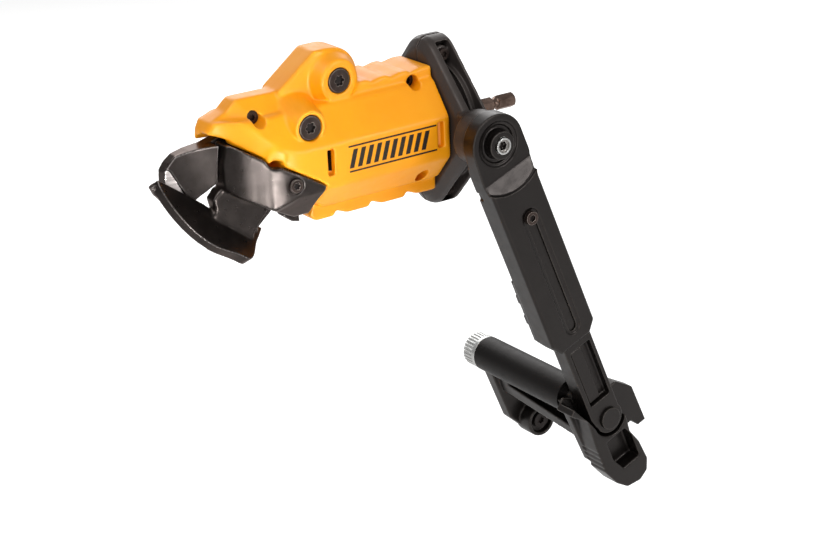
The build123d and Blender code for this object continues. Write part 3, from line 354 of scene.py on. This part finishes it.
def round_off(mesh, passes, crisp_spots=(), melt_spots=None, group=""):
    """Melt the edges of a dense mesh, in millimetres. crisp_spots are (x, z, radius) that keep their edges;
    where melt_spots, (x, y, z, radius), are given, only they are melted."""
    places, (first, second) = mesh_arrays(mesh)
    count = len(places)
    neighbours = numpy.bincount(first, minlength=count) + numpy.bincount(second, minlength=count)
    neighbours = numpy.maximum(neighbours, 1)
    share = FREE_SHARE - (FREE_SHARE - CRISP_SHARE) * running_zone(places, group)
    for x, z, radius in crisp_spots:
        away = numpy.hypot(places[:, 0] - x * MM, places[:, 2] - z * MM) / (radius * MM)
        nearby = numpy.clip(CRISP_SHARE + (away - 1.0) * 1.5, CRISP_SHARE, FREE_SHARE)
        share = numpy.minimum(share, nearby)
    if melt_spots is not None:
        melting = numpy.zeros(count)
        for x, y, z, radius in melt_spots:
            away = numpy.linalg.norm(places - numpy.array((x, y, z)) * MM, axis=1) / (radius * MM)
            melting = numpy.maximum(melting, numpy.clip((1.0 - away) * 2.0, 0.0, 1.0))
        share *= melting
    for _ in range(passes):
        around = numpy.empty_like(places)
        for axis in range(3):
            total = numpy.bincount(first, places[second, axis], count)
            total += numpy.bincount(second, places[first, axis], count)
            around[:, axis] = total / neighbours
        places += share[:, None] * (around - places)
    mesh.vertices.foreach_set("co", places.ravel())
    mesh.update()


def dense_copy(nodes, voxel):
    """One closed, evenly meshed copy of one or more CAD nodes."""
    joined = bmesh.new()
    for node in nodes:
        joined.from_mesh(frame["nodes"][node].data)
        if node == "housing_left":
            for vertex in joined.verts:
                if vertex.co.y > -SEAM_BRIDGE * MM:
                    vertex.co.y = SEAM_BRIDGE * MM
    rough = bpy.data.meshes.new("rough")
    joined.to_mesh(rough)
    joined.free()
    return with_modifiers(rough, (("WELD", {"merge_threshold": 0.00001}),
                                  ("REMESH", {"mode": "VOXEL", "voxel_size": voxel * MM})))


def with_modifiers(mesh, steps):
    """The mesh after the given modifiers; the mesh handed in is removed."""
    carrier = bpy.data.objects.new("carrier", mesh)
    bpy.context.scene.collection.objects.link(carrier)
    for kind, settings in steps:
        modifier = carrier.modifiers.new(kind.lower(), kind)
        for name, value in settings.items():
            setattr(modifier, name, value)
    depsgraph = bpy.context.evaluated_depsgraph_get()
    result = bpy.data.meshes.new_from_object(carrier.evaluated_get(depsgraph))
    bpy.data.objects.remove(carrier)
    bpy.data.meshes.remove(mesh)
    return result


def stand_for(node, mesh):
    """Show a mesh in place of a CAD node, in the node's own finish."""
    finish = FINISHES[node]
    mesh.name = node + "_soft"
    mesh.materials.clear()
    mesh.materials.append(MATERIALS[OTHER_FINISH_NODES.get(node, finish)])
    mesh.polygons.foreach_set("use_smooth", [True] * len(mesh.polygons))
    piece = bpy.data.objects.new(node + "_soft", mesh)
    bpy.context.scene.collection.objects.link(piece)
    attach(piece, body_of(node))
    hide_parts(node)
    return piece


def roll_cheek(mesh):
    """Turn the cheek's folded plan into one rolled curve, moving only the outer skin, and only outwards."""
    places, _ = mesh_arrays(mesh)
    x, y = places[:, 0] / MM, places[:, 1] / MM
    marks = numpy.arange(CHEEK_PLAN[0][0], CHEEK_PLAN[-1][0] + 0.1, MARK_STEP)
    on_cheek = (places[:, 2] > CHEEK_LOW * MM) & (places[:, 2] < CHEEK_HIGH * MM)
    skin = numpy.array([y[on_cheek & (abs(x - mark) < MARK_REACH)].min() for mark in marks])
    padded = numpy.pad(skin, SKIN_WINDOW // 2, "reflect", reflect_type="odd")
    skin = numpy.convolve(padded, numpy.ones(SKIN_WINDOW) / SKIN_WINDOW, "valid")
    wanted = numpy.empty_like(marks)
    for (x0, y0, slope0), (x1, y1, slope1) in zip(CHEEK_PLAN[:-1], CHEEK_PLAN[1:]):
        part = (marks >= x0 - 0.01) & (marks <= x1 + 0.01)
        t = (marks[part] - x0) / (x1 - x0)
        run = x1 - x0
        wanted[part] = ((2 * t ** 3 - 3 * t ** 2 + 1) * y0 + (t ** 3 - 2 * t ** 2 + t) * run * slope0
                        + (3 * t ** 2 - 2 * t ** 3) * y1 + (t ** 3 - t ** 2) * run * slope1)
    ends = numpy.clip(numpy.minimum(marks - marks[0], marks[-1] - marks) / ROLL_EASE, 0.0, 1.0)
    push = numpy.clip(wanted - skin, -ROLL_LIMIT, 0.0) * ends
    depth = y - numpy.interp(x, marks, skin)
    fade = numpy.clip(1.0 - depth / ROLL_DEPTH, 0.0, 1.0)
    y += numpy.where(on_cheek, numpy.interp(x, marks, push, left=0.0, right=0.0) * fade, 0.0)
    places[:, 1] = y * MM
    mesh.vertices.foreach_set("co", places.ravel())
    mesh.update()


# The rolled cheek's plan: x, y and the slope of y against x. The cheek lies between the two heights.
CHEEK_PLAN = [(-164.4, -10.6, -1.25), (-160.6, -15.8, -0.86), (-153.0, -20.4, -0.55), (-147.4, -23.2, -0.43),
              (-141.0, -25.4, -0.26), (-134.0, -26.4, -0.02)]
MARK_STEP = 0.5
MARK_REACH = 0.6
SKIN_WINDOW = 7
ROLL_LIMIT = 1.2
ROLL_DEPTH = 2.4
ROLL_EASE = 1.5
CHEEK_LOW = -30.0
CHEEK_HIGH = 22.0


def softened(node, voxel, passes):
    """A copy of a CAD node with real rounded edges, as a mould or a forging die leaves them."""
    mesh = dense_copy((node,), voxel)
    if node == "lower_jaw":
        roll_cheek(mesh)
    group = node.split("_")[0] if node.startswith("collar") else node
    round_off(mesh, passes, group=group)
    for spots, melt_passes in MELT_SPOTS.get(node, ()):
        round_off(mesh, melt_passes, melt_spots=spots)
    if group in RUNNING_ROOM:
        leave_room(mesh, group)
    mesh = with_modifiers(mesh, (("DECIMATE", {"ratio": KEPT_SHARE}),))
    mark_edges(mesh)
    return stand_for(node, mesh)


def half_of(mesh, side):
    """The part of a closed mesh on one side of the parting plane, closed again across the cut."""
    half = bmesh.new()
    half.from_mesh(mesh)
    everything = half.verts[:] + half.edges[:] + half.faces[:]
    cut = bmesh.ops.bisect_plane(half, geom=everything, plane_co=(0.0, side * SEAM_GAP * MM, 0.0),
                                 plane_no=(0.0, -side, 0.0), clear_outer=True)
    rim = [e for e in cut["geom_cut"] if isinstance(e, bmesh.types.BMEdge)]
    bmesh.ops.triangle_fill(half, edges=rim, use_beauty=True, use_dissolve=False)
    for edge in rim:
        edge.smooth = False
    bmesh.ops.recalc_face_normals(half, faces=half.faces)
    result = bpy.data.meshes.new("half")
    half.to_mesh(result)
    half.free()
    return result


def moulded_housing():
    """Both clamshells, rounded as one body so that their edges meet, then parted by a hairline seam."""
    mesh = dense_copy(("housing_left", "housing_right"), HOUSING_VOXEL)
    round_off(mesh, HOUSING_PASSES, CRISP_SPOTS, group="housing")
    leave_room(mesh, "housing")
    mesh = with_modifiers(mesh, (("DECIMATE", {"ratio": KEPT_SHARE}),))
    mark_edges(mesh, 130.0, 420.0)
    halves = {}
    for node, side in (("housing_left", -1.0), ("housing_right", 1.0)):
        halves[node] = stand_for(node, half_of(mesh, side))
    bpy.data.meshes.remove(mesh)
    return halves


KEPT_SHARE = 0.5
HOUSING_VOXEL = 0.45
HOUSING_PASSES = 22
SEAM_GAP = 0.02
SEAM_BRIDGE = 0.35
FREE_SHARE = 0.5
CRISP_SHARE = 0.06
CRISP_SPOTS = [
    (-126.5, 17.5, 7.4), (-104.9, 32.7, 7.4),
    (-147.5, 23.6, 4.2), (-65.5, 24.0, 4.2), (-66.0, -19.0, 4.2),
    (-118.9, -3.5, 3.4), (-118.9, 0.9, 3.4), (-118.9, 5.3, 3.4),
    (-59.8, -3.5, 3.4), (-59.8, 0.9, 3.4), (-59.8, 5.3, 3.4),
]

FOLD_SPOTS = [(-167.0, -8.0, -8.0, 6.5), (-168.0, -9.0, -16.0, 8.0), (-160.0, -9.0, -15.0, 9.0),
              (-153.0, -9.0, -22.0, 10.0), (-147.0, -9.0, -27.0, 8.0)]
CHEEK_SPOTS = [(-159.0, -17.0, 4.0, 9.0), (-151.0, -21.5, 1.0, 11.0), (-144.0, -24.5, -3.0, 10.0)]
MELT_SPOTS = {"lower_jaw": ((FOLD_SPOTS, 70), (CHEEK_SPOTS, 40))}

# Voxel in millimetres and smoothing passes of every other node that is remade.
SOFT_NODES = {
    "collar_left": (0.4, 9),
    "collar_right": (0.4, 9),
    "upper_arm": (0.35, 4),
    "lower_arm": (0.35, 3),
    "foot_yoke": (0.38, 6),
    "length_latch": (0.25, 3),
    "foot_pin": (0.2, 3),
    "lower_jaw": (0.32, 10),
    "upper_jaw": (0.3, 5),
    "pivot_bolt": (0.15, 2),
    "hump_bolt": (0.15, 2),
    "jaw_screw": (0.15, 2),
    "knurled_nut": (0.15, 1),
    "arm_pivot_bolt": (0.12, 2),
    "slide_screw": (0.12, 2),
}

# The bare strip of the moving jaw's shear face: its plane, and the line where the dished side begins.
SHEAR_Y = -2.0
DISH_TOP = (-185.9, 6.2)
DISH_FOOT = (-177.1, -10.4)
RING_BORE = 3.15
ARM_PIVOT_X = -47.5


def repaint(piece, finish, chosen):
    """Give the polygons that chosen(centre, normal) picks a second finish; centre is in millimetres."""
    index = len(piece.data.materials)
    piece.data.materials.append(MATERIALS[finish])
    for polygon in piece.data.polygons:
        if chosen(polygon.center / MM, polygon.normal):
            polygon.material_index = index


def on_shear_face(centre, normal):
    """On the flat strip in front of the dished side."""
    run = (DISH_FOOT[0] - DISH_TOP[0]) * (centre.z - DISH_TOP[1])
    rise = (DISH_FOOT[1] - DISH_TOP[1]) * (centre.x - DISH_TOP[0])
    in_front = run - rise < 0.0
    return in_front and abs(centre.y - SHEAR_Y) < 0.5 and normal.y < -0.9 and centre.x < DISH_FOOT[0] + 1.0


def in_ring_bore(centre, normal):
    """Inside the bright ring round the arm bolt's socket."""
    return math.hypot(centre.x - ARM_PIVOT_X, centre.z) < RING_BORE


def paint_socket_shade(node, radius, depth):
    """Painted shade inside a screw's drive recess: a dark finish below depth and within radius of its axis.
    """
    low, high = [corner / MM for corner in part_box(node)]
    x, z = (low.x + high.x) / 2, (low.z + high.z) / 2
    floor = low.y + depth
    piece = pieces[node]

    def chosen(centre, normal):
        inside = math.hypot(centre.x - x, centre.z - z) < radius
        return inside and floor < centre.y < low.y + SOCKET_REACH
    repaint(piece, "painted_shade_dark", chosen)


SOCKET_REACH = 3.2
SOCKETS = {"pivot_bolt": (2.7, 0.45), "hump_bolt": (2.7, 0.45), "jaw_screw": (1.9, 0.4),
           "slide_screw": (1.8, 0.5), "arm_pivot_bolt": (1.9, 0.9)}


def in_flank_slot(centre, normal):
    """Where the left side's slots get painted shadow: inside its front slot, and the shaded half of its rear
    slot.
    """
    if abs(centre.z - FLANK_SLOT_Z) > FLANK_SLOT_RISE or centre.y < HOUSING_SIDE_Y + 0.3:
        return False
    front, rear = [centre.x - x for x in FLANK_SLOTS_X]
    return abs(front) < FLANK_SLOT_HALF or -FLANK_SLOT_HALF < rear < 0.1


FLANK_SLOTS_X = (-118.9, -59.8)
FLANK_SLOT_HALF = 1.5
FLANK_SLOT_Z = 0.9
FLANK_SLOT_RISE = 4.9
HOUSING_SIDE_Y = -25.6


# ---------------------------------------------------------------- the printed band on the left side
BAND_X = (-109.8, -62.4)
BAND_Z = (-5.9, 6.4)
BAND_LINE = 0.8
PRINT_DEPTH = 0.03
STRIPE_WIDTH = 2.4
STRIPE_GAP = 1.9
STRIPE_LEAN = 2.6
STRIPE_MARGIN = 1.1


def add_prism(mesh, corners, near, far):
    """A flat-topped piece of print: corners are (x, z) in millimetres, near and far are y in millimetres."""
    fronts = [mesh.verts.new((x * MM, near * MM, z * MM)) for x, z in corners]
    backs = [mesh.verts.new((x * MM, far * MM, z * MM)) for x, z in corners]
    count = len(corners)
    mesh.faces.new(fronts)
    mesh.faces.new(list(reversed(backs)))
    for i in range(count):
        j = (i + 1) % count
        mesh.faces.new((fronts[i], backs[i], backs[j], fronts[j]))


def make_band():
    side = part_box("housing_left")[0].y / MM
    near = side - PRINT_DEPTH
    far = side + 2 * PRINT_DEPTH
    mesh = bmesh.new()
    for low in (BAND_Z[0], BAND_Z[1] - BAND_LINE):
        high = low + BAND_LINE
        corners = [(BAND_X[0], low), (BAND_X[1], low), (BAND_X[1], high), (BAND_X[0], high)]
        add_prism(mesh, corners, near, far)
    bottom = BAND_Z[0] + BAND_LINE + STRIPE_MARGIN
    top = BAND_Z[1] - BAND_LINE - STRIPE_MARGIN
    x = BAND_X[0]
    while x + STRIPE_WIDTH + STRIPE_LEAN <= BAND_X[1] + 0.01:
        corners = [
            (x, bottom),
            (x + STRIPE_WIDTH, bottom),
            (x + STRIPE_WIDTH + STRIPE_LEAN, top),
            (x + STRIPE_LEAN, top),
        ]
        add_prism(mesh, corners, near, far)
        x += STRIPE_WIDTH + STRIPE_GAP
    bmesh.ops.recalc_face_normals(mesh, faces=mesh.faces)
    data = bpy.data.meshes.new("printed_band")
    mesh.to_mesh(data)
    mesh.free()
    data.materials.append(printed_black)
    band = bpy.data.objects.new("printed_band", data)
    bpy.context.scene.collection.objects.link(band)
    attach(band, "head")


# ---------------------------------------------------------------- floor and light
# Far enough down for the arm's full reach.
FLOOR_DROP = 88.0
FLOOR_GLOW = 0.5


def make_floor():
    """Plain pale floor, kept out of the model."""
    size = 6.0
    mesh = bmesh.new()
    bmesh.ops.create_grid(mesh, x_segments=1, y_segments=1, size=size)
    data = bpy.data.meshes.new("floor")
    mesh.to_mesh(data)
    mesh.free()
    material, tree, shader = new_material("floor_paper", 0.0, 0.9)
    paper = ramp(tree, noise(tree, 400.0, 2.0), 0.4, 0.6, (0.93, 0.93, 0.93, 1.0), (0.95, 0.95, 0.95, 1.0))
    tree.links.new(paper, shader.inputs["Base Color"])
    shader.inputs["Emission Color"].default_value = (1.0, 1.0, 1.0, 1.0)
    path = tree.nodes.new("ShaderNodeLightPath")
    tree.links.new(spread(tree, path.outputs["Is Camera Ray"], 0.0, FLOOR_GLOW, 0.0, 1.0),
                   shader.inputs["Emission Strength"])
    data.materials.append(material)
    floor = bpy.data.objects.new("floor", data)
    bpy.context.scene.collection.objects.link(floor)
    floor.location = (0.0, 0.0, CAD_BOX[0][2] - FLOOR_DROP * MM)


def soft_light(name, place, aim, width, height, power, spread=180.0):
    data = bpy.data.lights.new(name, "AREA")
    data.shape = "RECTANGLE"
    data.size = width
    data.size_y = height
    data.energy = power
    data.spread = math.radians(spread)
    light = bpy.data.objects.new(name, data)
    bpy.context.scene.collection.objects.link(light)
    way = Vector(aim) - Vector(place)
    light.visible_camera = False
    light.matrix_world = Matrix.Translation(place) @ way.to_track_quat("-Z", "Y").to_matrix().to_4x4()


def make_light():
    """Soft studio lights and a pale surround."""
    centre = (Vector(CAD_BOX[0]) + Vector(CAD_BOX[1])) / 2
    cheek = (-0.150, -0.0225, 0.0)
    soft_light("key_light", (-0.85, -0.35, 1.0), centre, 0.8, 0.8, 6.8)
    soft_light("back_light", (0.45, 0.95, 0.55), centre, 1.4, 0.7, 7.5)
    soft_light("cheek_light", (-0.253, -0.387, -0.126), cheek, 0.08, 0.09, 0.017, 16.0)
    soft_light("front_light", (-0.27, -0.60, -0.05), cheek, 0.25, 0.2, 0.8)
    soft_light("ramp_light", (0.27, -0.85, 0.22), (-0.03, -0.05, -0.02), 0.3, 0.2, 2.2)
    world = bpy.data.worlds.new("studio")
    bpy.context.scene.world = world
    world.use_nodes = True
    tree = world.node_tree
    background = tree.nodes["Background"]
    background.inputs["Color"].default_value = (1.0, 1.0, 1.0, 1.0)
    background.inputs["Strength"].default_value = 0.40
    seen = tree.nodes.new("ShaderNodeBackground")
    seen.inputs["Color"].default_value = (1.0, 1.0, 1.0, 1.0)
    seen.inputs["Strength"].default_value = 1.0
    path = tree.nodes.new("ShaderNodeLightPath")
    mix = tree.nodes.new("ShaderNodeMixShader")
    tree.links.new(path.outputs["Is Camera Ray"], mix.inputs["Fac"])
    tree.links.new(background.outputs["Background"], mix.inputs[1])
    tree.links.new(seen.outputs["Background"], mix.inputs[2])
    tree.links.new(mix.outputs["Shader"], tree.nodes["World Output"].inputs["Surface"])
    bpy.context.scene.view_settings.view_transform = "Standard"


FINISHES = {node: finish_of(node) for node in frame["nodes"]}
paint_cad_nodes()
pieces = moulded_housing()
for node, (voxel, passes) in SOFT_NODES.items():
    pieces[node] = softened(node, voxel, passes)
repaint(pieces["upper_jaw"], "ground_steel", on_shear_face)
repaint(pieces["arm_pivot_bolt"], "plated_steel", in_ring_bore)
# Painted shadow in the left side's flank slots.
repaint(pieces["housing_left"], "shadow_black", in_flank_slot)
# Painted shade in the screw sockets.
for node, (radius, depth) in SOCKETS.items():
    paint_socket_shade(node, radius, depth)
make_band()
make_floor()
make_light()
make_camera()
